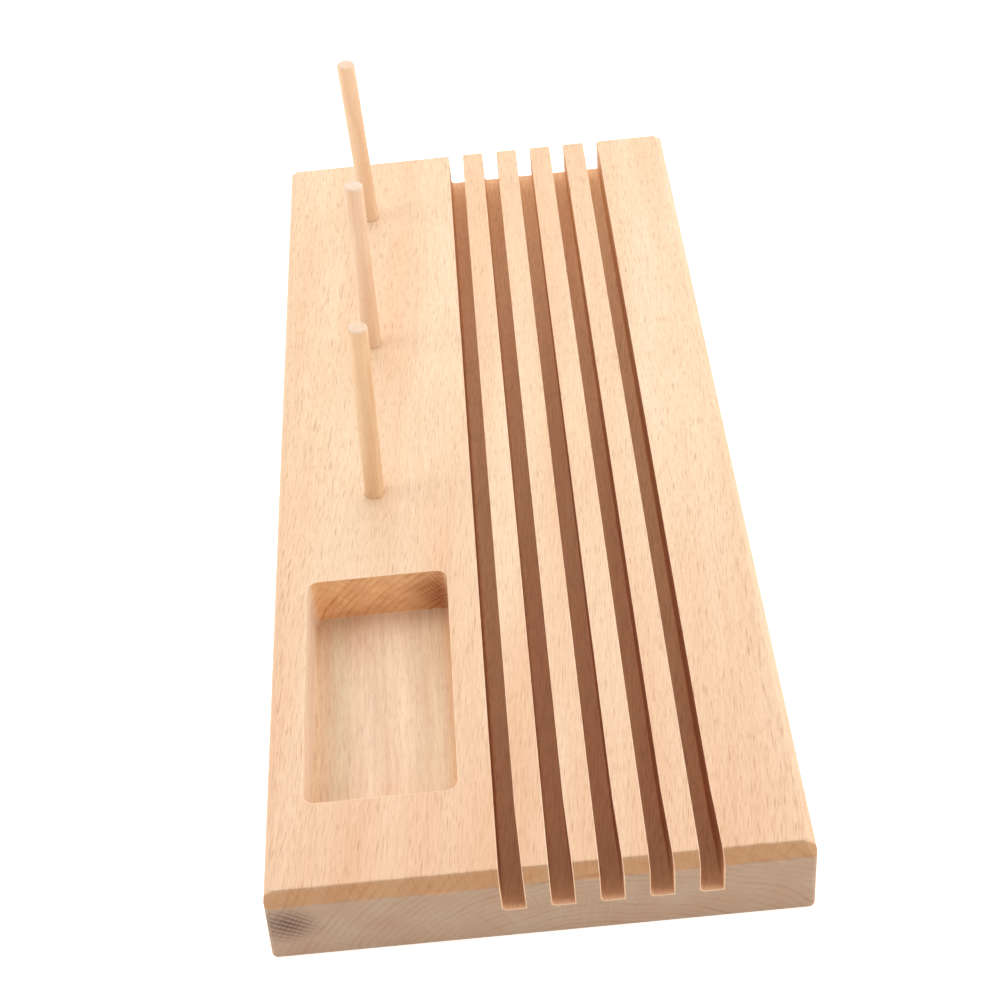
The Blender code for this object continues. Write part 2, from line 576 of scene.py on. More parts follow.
        past, above = [
            add("ShaderNodeMapRange", {0: where, 1: line - shoulder.width + blur[0],
                                       2: line - shoulder.width + blur[1]},
                interpolation_type="SMOOTHSTEP")
            for where, line, blur in ((out, shoulder.end, shoulder.brow),
                                      (high, shoulder.top, shoulder.foot))]
        slant = add("ShaderNodeMath", {0: past, 1: above}, operation="MULTIPLY")
        return end, slant

    def _flecks(self, add: AddNode, angle: Signal, along: Signal,
                radius: Signal) -> tuple[Signal, Signal]:
        """Draw the rays: sheets that stand on the pith, thin round the log and short along it.

        The log is divided into shells with rays of their own, so they stay equally thin and close
        however far from the pith they are. The shells' borders are staggered from ray to ray.

        Args:
            add: Adds a node to this material.
            angle: The angle round the pith.
            along: The distance along the log.
            radius: The distance from the pith.

        Returns:
            A mask of the rays that show everywhere, and one of the close rays that a stain shows.
        """
        wedge = add("ShaderNodeMath", {0: angle, 1: self.wedges}, operation="MULTIPLY")
        wedge = add("ShaderNodeMath", {0: wedge}, operation="FLOOR")
        stagger = add("ShaderNodeTexWhiteNoise", {"W": wedge}, noise_dimensions="1D")
        depth = add("ShaderNodeMath", {0: radius, 1: 1 / self.ray_depth, 2: stagger.outputs["Value"]},
                    operation="MULTIPLY_ADD")
        shell = add("ShaderNodeMath", {0: depth}, operation="FLOOR")
        reach = add("ShaderNodeMath", {0: shell, 1: self.ray_depth}, operation="MULTIPLY")
        arc = add("ShaderNodeMath", {0: angle, 1: reach}, operation="MULTIPLY")
        place = add("ShaderNodeCombineXYZ", {0: arc, 1: along, 2: shell})
        masks = []
        for scale, mark in (((1.0, 1.0), FLECK_MARK), (self.fine_fleck_scale, FINE_FLECK_MARK)):
            width, length = self.fleck_width * scale[0], self.fleck_length * scale[1]
            space = add("ShaderNodeVectorMath", {0: place, 1: (1 / width, 1 / length, SHELL_STEP)},
                        operation="MULTIPLY")
            sheets = add("ShaderNodeTexNoise", {"Vector": space, "Scale": 1.0, "Detail": 1.0,
                                                "Roughness": 0.4})
            masks.append(add("ShaderNodeMapRange", {0: sheets, 1: mark[0], 2: mark[1]},
                             interpolation_type="SMOOTHSTEP"))
        share = self.fine_fleck_strength / self.fleck_strength
        fine = add("ShaderNodeMath", {0: masks[1], 1: share}, operation="MULTIPLY")
        fleck = add("ShaderNodeMath", {0: masks[0], 1: fine}, operation="MAXIMUM")
        return fleck, self._hatch(add, angle, radius, sheets)

    def _hatch(self, add: AddNode, angle: Signal, radius: Signal, uneven: Signal) -> Signal:
        """Cross close rays with fine years, as the wood shows them where it is stained dark.

        Args:
            add: Adds a node to this material.
            angle: The angle round the pith.
            radius: The distance from the pith.
            uneven: A noise that keeps the lines from being ruled straight.

        Returns:
            A mask of the crossed lines.
        """
        bend, patchiness, year_share = 1.8, 2.0, 0.35
        close = add("ShaderNodeMath", {0: angle, 1: self.close_rays}, operation="MULTIPLY")
        close = add("ShaderNodeMath", {0: uneven, 1: bend, 2: close}, operation="MULTIPLY_ADD")
        close = add("ShaderNodeMath", {0: close}, operation="SINE")
        years = add("ShaderNodeMath", {0: radius, 1: self.close_years}, operation="MULTIPLY")
        years = add("ShaderNodeMath", {0: years}, operation="SINE")
        weave = add("ShaderNodeMath", {0: years, 1: year_share, 2: close}, operation="MULTIPLY_ADD")
        weave = add("ShaderNodeMath", {0: uneven, 1: patchiness, 2: weave}, operation="MULTIPLY_ADD")
        return add("ShaderNodeMapRange", {0: weave, 1: WEAVE_MARK[0], 2: WEAVE_MARK[1],
                                          3: 1.0 - self.weave}, interpolation_type="SMOOTHSTEP")

    def _rings(self, add: AddNode, log: Signal, radius: Signal) -> Signal:
        """Draw the growth rings: each year darkens towards its late wood and then stops short.

        Args:
            add: Adds a node to this material.
            log: The place in the log.
            radius: The distance from the pith.

        Returns:
            A mask of the late wood, stronger in some years and broken along the ring.
        """
        slow = add("ShaderNodeVectorMath", {0: log, 1: RING_WANDER_GRAIN}, operation="MULTIPLY")
        uneven = add("ShaderNodeTexNoise", {"Vector": slow, "Scale": 1.0, "Detail": 3.0})
        years = add("ShaderNodeMath", {0: radius, 1: 1 / self.timber.ring_width}, operation="MULTIPLY")
        years = add("ShaderNodeMath", {0: uneven, 1: self.timber.ring_wander, 2: years},
                    operation="MULTIPLY_ADD")
        season = add("ShaderNodeMath", {0: years}, operation="FRACT")
        late = add("ShaderNodeMapRange", {0: season, 1: LATE_WOOD[0], 2: LATE_WOOD[1]},
                   interpolation_type="SMOOTHSTEP")
        stop = add("ShaderNodeMapRange", {0: season, 1: YEARS_END[0], 2: YEARS_END[1], 3: 1.0, 4: 0.0},
                   interpolation_type="SMOOTHSTEP")
        ring = add("ShaderNodeMath", {0: late, 1: stop}, operation="MULTIPLY")
        year = add("ShaderNodeMath", {0: years}, operation="FLOOR")
        weather = add("ShaderNodeTexWhiteNoise", {"W": year}, noise_dimensions="1D")
        strength = add("ShaderNodeMapRange", {0: weather.outputs["Value"], 3: 0.2, 4: 0.9})
        patch = add("ShaderNodeVectorMath", {0: log, 1: RING_PATCH_GRAIN}, operation="MULTIPLY")
        patch = add("ShaderNodeTexNoise", {"Vector": patch, "Scale": 1.0, "Detail": 2.0})
        broken = add("ShaderNodeMapRange", {0: patch, 1: RING_PATCH_MARK[0], 2: RING_PATCH_MARK[1],
                                            3: 0.15, 4: 1.0})
        strength = add("ShaderNodeMath", {0: strength, 1: broken}, operation="MULTIPLY")
        return add("ShaderNodeMath", {0: ring, 1: strength}, operation="MULTIPLY")

    def _fibres(self, add: AddNode, log: Signal) -> tuple[Signal, Signal]:
        """Draw fine fibres along the grain, and the pores that speckle the ends of them.

        Args:
            add: Adds a node to this material.
            log: The place in the log.

        Returns:
            The fibres' and the pores' noise, each from 0 to 1.
        """
        fine = add("ShaderNodeVectorMath", {0: log, 1: FIBRE_GRAIN}, operation="MULTIPLY")
        fibre = add("ShaderNodeTexNoise", {"Vector": fine, "Scale": 1.0, "Detail": 3.0})
        finer = add("ShaderNodeVectorMath", {0: log, 1: PORE_GRAIN}, operation="MULTIPLY")
        pore = add("ShaderNodeTexNoise", {"Vector": finer, "Scale": 1.0, "Detail": 2.0})
        return fibre, pore

    def _stains(self, add: AddNode, coordinates: bpy.types.Node) -> Signal:
        """Mark the round patches of darker wood.

        Args:
            add: Adds a node to this material.
            coordinates: The texture coordinate node.

        Returns:
            From 0 outside the patches to 1 in their middles.
        """
        total: Signal = 0.0
        for stain in self.stains:
            far = add("ShaderNodeVectorMath", {0: coordinates.outputs["Object"],
                                               1: [c * MM for c in stain.place]}, operation="DISTANCE")
            near = add("ShaderNodeMapRange", {0: far.outputs["Value"], 1: stain.radius * MM, 2: 0.0},
                       interpolation_type="SMOOTHSTEP")
            total = add("ShaderNodeMath", {0: near, 1: total}, operation="ADD")
        return total

    def _wood(self, add: AddNode, log: Signal, cut: tuple[Signal, Signal],
              rays: tuple[Signal, Signal], ring: Signal, grain: tuple[Signal, Signal],
              stain: Signal) -> list[Layer]:
        """List the wood's own colours: tones, fibres, pores, rings, rays, stains and end grain.

        Args:
            add: Adds a node to this material.
            log: The place in the log.
            cut: How squarely the fibres are cut, and the mask of the slant.
            rays: The masks of the rays and of the close rays in a stain.
            ring: The mask of the late wood.
            grain: The fibres' and the pores' noise.
            stain: The mask of the darker patches.

        Returns:
            The layers that lie on the straw tone, from the lowest to the highest.
        """
        colours = self.colours
        late_wood = linear(colours.ring)
        fibre, pore = grain
        fleck, hatch = rays
        end, slant = cut
        scale = self.streak_width
        broad = add("ShaderNodeVectorMath", {0: log, 1: (1 / scale, STREAK_ALONG / scale, 1 / scale)},
                    operation="MULTIPLY")
        tone = add("ShaderNodeTexNoise", {"Vector": broad, "Scale": 1.0, "Detail": 3.0})
        tone, streak, dots = [
            add("ShaderNodeMapRange", {0: noise, 1: mark[0], 2: mark[1], 4: strength})
            for noise, mark, strength in ((tone, TONE_MARK, 1.0), (fibre, FIBRE_MARK, self.fibre_strength),
                                          (pore, PORE_MARK, self.pore_strength))]
        ring_share, fleck_share = [
            add("ShaderNodeMapRange", {0: end, 1: END_GRAIN_MARK[0], 2: END_GRAIN_MARK[1],
                                       3: on_face, 4: on_end})
            for on_face, on_end in ((self.ring_on_face, self.ring_on_end),
                                    (self.fleck_strength, self.ray_on_end))]
        ring_share = add("ShaderNodeMath", {0: stain, 1: self.ring_in_stain, 2: ring_share},
                         operation="MULTIPLY_ADD")
        dark = add("ShaderNodeMath", {0: hatch, 1: stain}, operation="MULTIPLY")
        ring_mask, fleck_mask, dark_mask = [
            add("ShaderNodeMath", {0: mask, 1: share}, operation="MULTIPLY", use_clamp=True)
            for mask, share in ((ring, ring_share), (fleck, fleck_share), (dark, end))]
        # End faces take the end tint, which is partly painted shade.
        tint = add("ShaderNodeValToRGB", {0: end}, stops=(
            (0.0, colours.side), (0.45, colours.side), (0.8, colours.end)))
        tint = add("ShaderNodeMix", {0: slant, 6: tint, 7: linear(colours.chamfer)}, data_type="RGBA")
        return [Layer(tone, linear(colours.blush), Meeting.PAINT), Layer(streak, late_wood),
                Layer(dots, late_wood), Layer(ring_mask, late_wood),
                Layer(fleck_mask, linear(colours.ray), Meeting.PAINT),
                Layer(dark_mask, linear(colours.stain), Meeting.PAINT), Layer(1.0, tint.outputs[2])]

    def _falloff_shaded(self, add: AddNode, coordinates: bpy.types.Node, falloff_shade: FalloffShade) -> Layer:
        """Paint shade on the wood, deeper and deeper along the plank.

        Args:
            add: Adds a node to this material.
            coordinates: The texture coordinate node.
            falloff_shade: Where the painted shade begins and ends, and its tint.

        Returns:
            The painted shade's layer.
        """
        axes = add("ShaderNodeSeparateXYZ", {0: coordinates.outputs["Object"]})
        share = add("ShaderNodeMapRange", {0: axes.outputs["Y"], 1: falloff_shade.start, 2: falloff_shade.end})
        return Layer(share, linear(falloff_shade.tint))

    def _banded(self, add: AddNode, coordinates: bpy.types.Node, floor_bands_and_shade: RouterBandsAndWallShade) -> Layer:
        """Lay the router's bands, with painted shade along their sides, on a floor, and leave the walls
        alone.

        Args:
            add: Adds a node to this material.
            coordinates: The texture coordinate node.
            floor_bands_and_shade: The bands, with the painted shade at their sides.

        Returns:
            The bands' layer.
        """
        axes = add("ShaderNodeSeparateXYZ", {0: coordinates.outputs["Object"]})
        waver = add("ShaderNodeTexNoise", {"Vector": coordinates.outputs["Object"], "Detail": 3.0,
                                           "Scale": WAVER_SCALE})
        across = add("ShaderNodeMath", {0: waver, 1: floor_bands_and_shade.waver, 2: axes.outputs["X"]},
                     operation="MULTIPLY_ADD")
        share = add("ShaderNodeMapRange", {0: across, 1: floor_bands_and_shade.left + floor_bands_and_shade.waver / 2,
                                           2: floor_bands_and_shade.right + floor_bands_and_shade.waver / 2})
        band = add("ShaderNodeValToRGB", {0: share}, stops=floor_bands_and_shade.bands)
        facing = add("ShaderNodeSeparateXYZ", {0: coordinates.outputs["Normal"]})
        up = add("ShaderNodeMapRange", {0: facing.outputs["Z"], 1: 0.5, 2: 0.95})
        return Layer(up, band.outputs[0])

    def _paint_cut_light(self, add: AddNode, coordinates: bpy.types.Node, cut_painted_light: SawCutPaintedLight,
               fibre: Signal) -> list[Layer]:
        """Paint shade on a saw cut's walls and near end, and paint light at its mouths with a ragged
        border.

        Args:
            add: Adds a node to this material.
            coordinates: The texture coordinate node.
            cut_painted_light: The cut's heights, stretches and the colours of its painted light and shade.
            fibre: The fibres' noise, which makes the border ragged.

        Returns:
            The layers of the painted shade on the walls and on the near stretch, and of the painted light
            at the mouths.
        """
        axes = add("ShaderNodeSeparateXYZ", {0: coordinates.outputs["Object"]})
        facing = add("ShaderNodeSeparateXYZ", {0: coordinates.outputs["Normal"]})
        # Painted shade on the walls, most near their tops and towards the near end.
        wall_shade = add("ShaderNodeMath", {0: facing.outputs["X"]}, operation="ABSOLUTE")
        high = add("ShaderNodeMapRange", {0: axes.outputs["Z"], 1: cut_painted_light.floor + 0.5 * MM, 2: cut_painted_light.rim})
        ahead = add("ShaderNodeMapRange", {0: axes.outputs["Y"], 1: cut_painted_light.end, 2: 0.0})
        for limit in (high, ahead):
            wall_shade = add("ShaderNodeMath", {0: wall_shade, 1: limit}, operation="MULTIPLY")
        # Painted shade over the last stretch before the near end.
        near_end_share = add("ShaderNodeMapRange", {0: axes.outputs["Y"], 1: cut_painted_light.stretch - cut_painted_light.end,
                                          2: cut_painted_light.reach - cut_painted_light.end})
        # Painted light at the cut's open ends, where light falls in.
        out = add("ShaderNodeMath", {0: axes.outputs["Y"]}, operation="ABSOLUTE")
        ragged = add("ShaderNodeMath", {0: fibre, 1: 0.8 * cut_painted_light.reach, 2: out},
                     operation="MULTIPLY_ADD")
        start = cut_painted_light.end - 0.6 * cut_painted_light.reach
        mouth_light = add("ShaderNodeMapRange", {0: ragged, 1: start, 2: start + cut_painted_light.reach},
                    interpolation_type="SMOOTHSTEP")
        return [Layer(wall_shade, linear(cut_painted_light.top)), Layer(near_end_share, linear(cut_painted_light.near_end_shade)),
                Layer(mouth_light, linear(cut_painted_light.mouth_light), Meeting.PAINT)]

    def _height(self, add: AddNode, end: Signal, fleck: Signal, fibre: Signal,
                pore: Signal) -> Signal:
        """Raise fibres and sink pores and flecks; cut fibre ends are rougher than sanded faces.

        Args:
            add: Adds a node to this material.
            end: How squarely the fibres are cut.
            fleck: The mask of the rays.
            fibre: The fibres' noise.
            pore: The pores' noise.

        Returns:
            The surface's height, for a bump.
        """
        rough = add("ShaderNodeMapRange", {0: end, 1: 0.3, 2: 0.9, 3: 0.6, 4: 1.6})
        pits = add("ShaderNodeMath", {0: pore, 1: rough}, operation="MULTIPLY")
        raised = add("ShaderNodeMath", {0: fibre, 1: 0.8, 2: pits}, operation="MULTIPLY_ADD")
        return add("ShaderNodeMath", {0: fleck, 1: -0.35, 2: raised}, operation="MULTIPLY_ADD")


# The rack's pieces


@dataclass
class RulerBlock:
    """The milled plank: five through slots, a routed tray and the pins' blind holes.

    The nick_sizes are half of a splinter's least and greatest width, length and depth in
    millimetres, and nick_turn is in radians.
    """

    node: str = "ruler_block"
    body: str = "block"
    slot: str = "block_beech"
    end_chamfer: float = 3.4 * MM
    left_chamfer: float = 1.7 * MM
    right_chamfer: float = 2.3 * MM
    left_lean: float = 2.4 * MM
    right_lean: float = 0.8 * MM
    corner_radius: float = 1.8 * MM
    bottom_ease: float = 0.8 * MM
    arris: float = 0.25 * MM
    arris_angle: float = radians(32)
    shortest_eased: float = 0.55 * MM
    weld: float = 0.005 * MM
    softening: float = 0.35 * MM
    corner_plane: float = 0.5 * MM
    corner_slope: float = 0.9
    opening_gap: float = 0.15 * MM
    tray_inset: float = 1.2 * MM
    tray_corner: float = 3.3 * MM
    tray_cove: float = 0.4 * MM
    slot_corner: float = 1.1 * MM
    slot_flare: float = 0.6 * MM
    flare_reach: float = 22.0 * MM
    hole_radius: float = 3.06 * MM
    hole_depth: float = 12.3 * MM
    hole_gap: float = 0.3 * MM
    overcut: float = 5.0 * MM
    hair: float = 0.005 * MM
    skin: float = 0.4 * MM
    wall_slack: float = 0.05 * MM
    mouth_margin: float = 0.5 * MM
    tray_slack: float = 0.1 * MM
    nick_count: int = 24
    nick_seed: int = 5
    nick_margin: float = 6.0 * MM
    nick_turn: float = 0.25
    nick_sizes: tuple[tuple[float, float], ...] = ((0.25, 0.4), (0.4, 1.2), (0.2, 0.3))
    low: Vector = field(init=False)
    high: Vector = field(init=False)

    def __post_init__(self) -> None:
        """Read the plank's corners from the frame, and stay a hair inside them."""
        low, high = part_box(self.node)
        self.low = low + Vector((0.0, self.hair, 0.0))
        self.high = high - Vector((0.0, self.hair, 0.0))

    def opening(self, name: str, inset: float) -> tuple[Vector, Vector]:
        """Find one opening's walls from the record.

        Args:
            name: The opening's name in the record.
            inset: How far the record's box is inside the walls.

        Returns:
            The hollow's lowest and highest corners, up past the plank's top.
        """
        box = next(o["box_m"] for o in frame["record"]["physics"]["openings"] if o["name"] == name)
        low = Vector(box[0]) - Vector((inset, inset, self.opening_gap))
        high = Vector(box[1]) + Vector((inset, inset, self.overcut))
        return low, high

    def slots(self) -> list[tuple[Vector, Vector]]:
        """List the ruler slots' corners, from left to right."""
        names = [o["name"] for o in frame["record"]["physics"]["openings"]]
        return [self.opening(name, self.opening_gap) for name in names if name.startswith("ruler_slot")]

    def tray(self) -> tuple[Vector, Vector]:
        """Give the tray's corners."""
        return self.opening("tray", self.tray_inset)

    def plane_off(self, mesh_data: bmesh.types.BMesh, outward: Vector, edge: float, width: float,
                  slope: float) -> None:
        """Plane one top edge off.

        Args:
            mesh_data: The slab.
            outward: The direction that the edge faces, level.
            edge: How far out the slab's edge would be at its top.
            width: How far in from the edge the plane comes out on top.
            slope: How steep the plane is, 1 for 45 degrees.
        """
        start = outward * (edge - width) + UP * self.high.z
        geometry = mesh_data.verts[:] + mesh_data.edges[:] + mesh_data.faces[:]
        planed = bmesh.ops.bisect_plane(mesh_data, geom=geometry, plane_co=start, clear_outer=True,
                                        plane_no=outward * slope + UP)
        border = [item for item in planed["geom_cut"] if isinstance(item, bmesh.types.BMEdge)]
        bmesh.ops.holes_fill(mesh_data, edges=border)

    def chamfer_top(self, mesh_data: bmesh.types.BMesh, outward: Vector, edge: float,
                    width: float) -> None:
        """Chamfer one top edge at 45 degrees, with both of its own edges softened by hand.

        Args:
            mesh_data: The slab.
            outward: The direction that the edge faces, level.
            edge: How far out the slab's edge would be at its top.
            width: The chamfer's width.
        """
        shallow, steep = tan(radians(22.5)), tan(radians(67.5))
        wide = width + self.softening
        self.plane_off(mesh_data, outward, edge, width, 1.0)
        self.plane_off(mesh_data, outward, edge, wide, shallow)
        self.plane_off(mesh_data, outward, edge, wide * shallow, steep)

    def slab(self) -> bpy.types.Object:
        """Make the plank before milling, with rounded corners and chamfers.

        Returns:
            The slab.
        """
        mesh_data = box_between(self.low, self.high)
        left, right = self.low.x + self.left_lean, self.high.x - self.right_lean
        for vert in mesh_data.verts:
            if vert.co.z > self.high.z - MM:
                vert.co.x = left if vert.co.x < 0 else right
        round_over(mesh_data, upright_edges(mesh_data), self.corner_radius, 6)
        rim = edges_where(mesh_data, lambda co: abs(co.z - self.low.z) < SLACK)
        round_over(mesh_data, rim, self.bottom_ease, 3)
        sides = ((Vector((-1.0, 0.0, 0.0)), -left, self.left_chamfer),
                 (Vector((1.0, 0.0, 0.0)), right, self.right_chamfer),
                 (Vector((0.0, -1.0, 0.0)), -self.low.y, self.end_chamfer),
                 (Vector((0.0, 1.0, 0.0)), self.high.y, self.end_chamfer))
        for outward, edge, width in sides:
            self.chamfer_top(mesh_data, outward, edge, width)
        for side, edge_x, width in ((-1.0, -left, self.left_chamfer), (1.0, right, self.right_chamfer)):
            for end in (-1.0, 1.0):
                outward = Vector((side, end, 0.0)).normalized()
                corner = (edge_x - width + self.high.y - self.end_chamfer) / sqrt(2)
                self.plane_off(mesh_data, outward, corner, self.corner_plane, self.corner_slope)
        bmesh.ops.recalc_face_normals(mesh_data, faces=mesh_data.faces)
        return make_piece(self.node + "_finished", mesh_data)

    def slot_cutter(self, low: Vector, high: Vector) -> bpy.types.Object:
        """Make the path of the saw through one slot, with the round corner of a worn blade.

        The blade wandered to the right where it came out at the near end.

        Args:
            low: The slot's lowest corner.
            high: Its highest corner.

        Returns:
            The cutter.
        """
        mesh_data = box_between(low, high)
        foot = edges_where(mesh_data, lambda co: abs(co.z - low.z) < SLACK
                           and abs(co.x - low.x) < SLACK)
        round_over(mesh_data, foot, self.slot_corner, 3)
        flare = self.low.y + self.flare_reach
        geometry = mesh_data.verts[:] + mesh_data.edges[:] + mesh_data.faces[:]
        bmesh.ops.bisect_plane(mesh_data, geom=geometry, plane_co=(0, flare, 0), plane_no=(0, 1, 0))
        for vert in mesh_data.verts:
            if vert.co.y < flare - MM and vert.co.x > (low.x + high.x) / 2:
                vert.co.x += self.slot_flare * (flare - vert.co.y) / self.flare_reach
        return make_piece("slot_cutter", mesh_data)

    def tray_cutter(self) -> bpy.types.Object:
        """Make the tray's hollow, with round corners and a small cove round its floor.

        Returns:
            The cutter.
        """
        low, high = self.tray()
        mesh_data = box_between(low, high)
        round_over(mesh_data, upright_edges(mesh_data), self.tray_corner, 8)
        floor = edges_where(mesh_data, lambda co: abs(co.z - low.z) < SLACK)
        round_over(mesh_data, floor, self.tray_cove, 5)
        return make_piece("tray_cutter", mesh_data)

    def hole_cutter(self, pin: "ThreadPin") -> bpy.types.Object:
        """Make the blind hole that one pin is pushed into.

        Args:
            pin: The pin.

        Returns:
            The cutter.
        """
        return make_piece("hole_cutter", pin.rod(self.hole_radius, pin.foot - self.hole_gap,
                                                 pin.foot + self.hole_depth + self.overcut))

    def nick_cutter(self) -> bpy.types.Object:
        """Make the small splinters that the saw tore out along the slots' edges.

        Returns:
            The cutter.
        """
        draw = random.Random(self.nick_seed)
        slots = self.slots()
        mesh_data = bmesh.new()
        for _ in range(self.nick_count):
            low, high = draw.choice(slots)
            edge = draw.choice((low.x, high.x))
            along = draw.uniform(self.low.y + self.nick_margin, self.high.y - self.nick_margin)
            place = Vector((edge, along, self.high.z))
            size = Vector([draw.uniform(least, most) for least, most in self.nick_sizes])
            turn = Matrix.Rotation(draw.uniform(-self.nick_turn, self.nick_turn), 4, "Z")
            matrix = Matrix.Translation(place) @ turn @ Matrix.Diagonal((*(size * MM), 1.0))
            bmesh.ops.create_icosphere(mesh_data, subdivisions=1, radius=1.0, matrix=matrix)
        return make_piece("nick_cutter", mesh_data)

    def on_rim(self, place: Vector) -> bool:
        """Tell whether a place is on the rim of a slot or of the tray.

        Args:
            place: A place on one of the plank's eased arrises.

        Returns:
            True on a rim, and False in a hollow's inner corners and on the plank's own edges.
        """
        beside = any(low.x - MM < place.x < high.x + MM for low, high in self.slots())
        on_top = place.z > self.high.z - self.end_chamfer - MM
        at_end = abs(place.y) > self.high.y - MM
        low, high = self.tray()
        round_tray = all(low[i] - MM < place[i] < high[i] + MM for i in (0, 1))
        return (beside and (on_top or at_end)) or (round_tray and on_top)

    def ease_arrises(self, piece: bpy.types.Object) -> None:
        """Take the sharpness off every edge, as a last pass of fine paper does.

        Args:
            piece: The milled plank.
        """
        mesh_data = bmesh.new()
        mesh_data.from_mesh(piece.data)
        bmesh.ops.remove_doubles(mesh_data, verts=mesh_data.verts, dist=self.weld)
        bmesh.ops.dissolve_degenerate(mesh_data, edges=mesh_data.edges, dist=self.weld)
        sharp = [edge for edge in mesh_data.edges
                 if len(edge.link_faces) == 2 and edge.calc_face_angle() > self.arris_angle
                 and edge.calc_length() > self.shortest_eased]
        eased = round_over(mesh_data, sharp, self.arris, 2)
        # The rims of the slots and the tray get a painted highlight: lighter wood where their rounded
        # edges catch the light.
        for face in eased:
            if self.on_rim(face.calc_center_median()):
                face.material_index = Surface.EASED_HIGHLIGHT.value
        bmesh.ops.recalc_face_normals(mesh_data, faces=mesh_data.faces)
        mesh_data.to_mesh(piece.data)
        mesh_data.free()

    def sort_faces(self, piece: bpy.types.Object) -> None:
        """Give the slots and the tray their own material numbers.

        Args:
            piece: The finished plank.
        """
        slots = self.slots()
        tray_low, tray_high = self.tray()
        slack = self.tray_slack
        for face in piece.data.polygons:
            x, y, z = face.center
            if z > self.high.z - self.skin or face.material_index == Surface.EASED_HIGHLIGHT.value:
                continue
            sawn = any(low.x - self.wall_slack < x < high.x + self.slot_flare and low.z - MM < z
                       for low, high in slots)
            if sawn and self.low.y + self.mouth_margin < y < self.high.y - self.mouth_margin:
                face.material_index = Surface.SAWN.value
            inside = (tray_low.x - slack < x < tray_high.x + slack
                      and tray_low.y - slack < y < tray_high.y + slack)
            if inside and z > tray_low.z - slack:
                face.material_index = Surface.ROUTED.value

    def finishes(self) -> list[bpy.types.Material]:
        """Make the plank's finishes, in the order of Surface.

        Sanded beech is pale and silky, with ray flecks on the flat and grey, ringed ends, whose grey is
        partly painted shade; painted shade also darkens its top towards the front. The saw burnished its
        cuts to a red brown, and painted shade deepens it towards the near end and on the walls, while
        painted light brightens the cuts' open ends. The routed tray is paler on its floor and orange on
        its end grain, with painted shade along the sides of its floor. The eased rims carry a painted
        highlight of bright wood.

        Returns:
            The sanded, sawn and routed beech, and the eased rims' painted highlight.
        """
        timber = Timber(centre=Vector((0.0, self.low.y, self.low.z)), pith_across=-10.8, pith_up=31.0,
                        ring_width=2.3, left_squeeze=1.06, right_squeeze=0.755, drift=0.11,
                        curl=0.00012)
        tray_low, tray_high = self.tray()
        slot_low, slot_high = self.slots()[0]
        corner = Stain(place=(self.low.x / MM + 6.9, self.low.y / MM, 16.2), radius=11.0)
        pocket = Stain(place=(tray_high.x / MM + 1.0, tray_high.y / MM + 2.0, 17.0), radius=18.0)
        # Painted shade on the saw cut's walls and over its near stretch, and painted light at its open
        # ends.
        cut_painted_light = SawCutPaintedLight(end=self.high.y, stretch=24 * MM, reach=2.2 * MM, floor=slot_low.z,
                       rim=self.high.z, near_end_shade="#E8EFF4", mouth_light="#F3C096", top="#B88A7C")
        # Painted shade: the sanded wood darkens towards the front, where less light falls.
        sanded_falloff_shade = FalloffShade(start=0.0, end=self.low.y, tint="#FAEEEA")
        # Painted shade: the slots darken towards the near end, where less light falls.
        sawn_falloff_shade = FalloffShade(start=self.high.y, end=self.low.y, tint="#E9C9B8")
        # The darker, more orange stops at both ends are painted shade next to the tray's side walls.
        floor_bands_and_shade = RouterBandsAndWallShade(left=tray_low.x, right=tray_high.x, bands=(
            (0.0, "#F6E6D4"), (0.06, "#F4EADE"), (0.13, "#F0EDE2"), (0.20, "#F0EEE4"),
            (0.29, "#FFFAF6"), (0.62, "#FFF8F2"), (0.71, "#F0E9E0"), (0.91, "#EEE7DC"),
            (0.96, "#ECD8C4")))
        shoulder = Shoulder(end=self.high.y, top=self.high.z, width=self.end_chamfer)
        sanded = SolidBeech(name="sanded_beech", timber=timber, stains=(corner,), falloff_shade=sanded_falloff_shade,
                            shoulder=shoulder)
        sawn = SolidBeech(name="saw_burnished_beech", timber=timber, falloff_shade=sawn_falloff_shade, cut_painted_light=cut_painted_light,
                          colours=BeechColours(straw="#FFDBAD", blush="#F8CC9E", ray="#8E5A3A"),
                          fleck_strength=0.3, roughness=0.62)
        routed = SolidBeech(name="routed_beech", timber=replace(timber, drift=0.02),
                            colours=BeechColours(straw="#FFEED6", blush="#F1D8BE", ring="#D2A074",
                                                 stain="#8A4C34", end="#FFE2C0"),
                            streak_width=5.0, fleck_strength=0.26, fine_fleck_strength=0.18,
                            ring_on_face=0.15, ring_on_end=0.85, weave=0.35, stains=(pocket,),
                            floor_bands_and_shade=floor_bands_and_shade, roughness=0.62)
        # Painted highlight: lighter wood on the eased rims, where their rounded edges catch the light.
        eased = SolidBeech(name="eased_rim_highlight_beech", timber=timber,
                           colours=BeechColours(straw="#FFE0BE", blush="#FCD6B0", end="#F2EAE0"))
        return [sanded.material(), sawn.material(), routed.material(), eased.material()]

    def build(self, pins: Sequence["ThreadPin"]) -> bpy.types.Object:
        """Make, mill, ease and dress the plank.

        Args:
            pins: The pins that it holds.

        Returns:
            The finished piece.
        """
        piece = self.slab()
        for low, high in self.slots():
            carve(piece, self.slot_cutter(low, high))
        carve(piece, self.tray_cutter())
        for pin in pins:
            carve(piece, self.hole_cutter(pin))
        carve(piece, self.nick_cutter())
        self.ease_arrises(piece)
        for material in self.finishes():
            piece.data.materials.append(material)
        self.sort_faces(piece)
        settle_normals(piece)
        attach(piece, self.body)
        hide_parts(self.node)
        return piece


